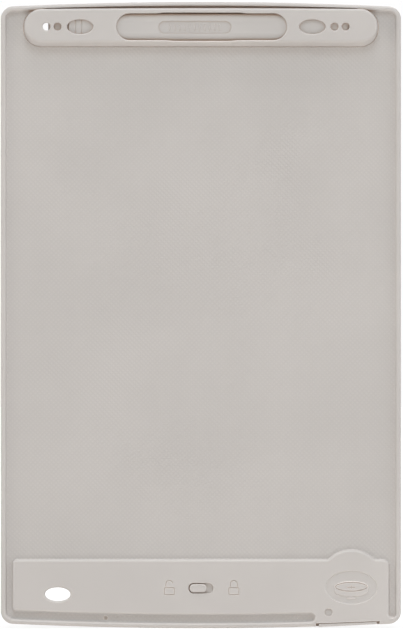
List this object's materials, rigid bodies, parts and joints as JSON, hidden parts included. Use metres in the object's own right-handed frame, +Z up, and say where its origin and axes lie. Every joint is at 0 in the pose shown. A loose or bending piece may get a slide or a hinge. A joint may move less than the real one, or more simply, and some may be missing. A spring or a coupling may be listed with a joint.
{
  "type": "lcd writing tablet",
  "caption": "Portrait writing tablet with a dark screen, a pen clipped under a hood on its back, an erase button, a lock slider, a coin-cell drawer and a lanyard eye.",
  "frame": {"origin": "bottom centre of the bounding box, with the tablet upright", "axes": "+X to the right seen from the back, -Y out of the back, +Y out of the screen, +Z up along the long side"},
  "size_m": [0.1444, 0.0082, 0.226],
  "materials": {
    "shell": "warm grey moulded plastic, satin",
    "pen": "warm grey moulded plastic, satin",
    "screen": "dark laminated film",
    "backing": "black sheet",
    "tape": "double-sided foam tape",
    "film": "amber film with printed tracks",
    "board": "green solder mask",
    "chip": "black moulding compound",
    "ceramic": "tan ceramic",
    "ferrite": "grey ferrite",
    "steel": "plated steel",
    "cell": "bright plated can",
    "contact": "spring brass",
    "nib": "dark hard plastic"
  },
  "bodies": {
    "tablet": {"front_frame": "shell", "rear_cover": "shell", "lcd_tape": "tape", "lcd_panel": "screen", "backing_sheet": "backing", "lcd_tail": "film", "control_board": "board", "controller_chip": "chip", "boost_capacitor": "ceramic", "filter_capacitor": "ceramic", "boost_inductor": "ferrite", "board_screw_left": "steel", "board_screw_right": "steel", "erase_switch_body": "steel", "positive_contact": "contact", "negative_contact": "contact"},
    "pen": {"pen_barrel": "pen", "pen_nib": "nib", "pen_tail_plug": "pen"},
    "eraser": {"erase_button": "shell", "erase_switch_plunger": "chip"},
    "lock": {"lock_slider": "shell", "lock_wiper": "contact"},
    "drawer": {"battery_drawer": "shell", "coin_cell": "cell"}
  },
  "joints": [
    {"name": "pen_release", "type": "slide", "parent": "tablet", "child": "pen", "axis": [0, 1, 0], "range_m": [0, 0.015]},
    {"name": "lock_slide", "type": "slide", "parent": "tablet", "child": "lock", "axis": [1, 0, 0], "range_m": [0, 0.00195]},
    {"name": "erase_press", "type": "slide", "parent": "tablet", "child": "eraser", "axis": [0, -1, 0], "range_m": [0, 0.00035], "stiffness_N_per_m": 400},
    {"name": "drawer_slide", "type": "slide", "parent": "tablet", "child": "drawer", "axis": [0, 0, -1], "range_m": [0, 0.025]}
  ]
}
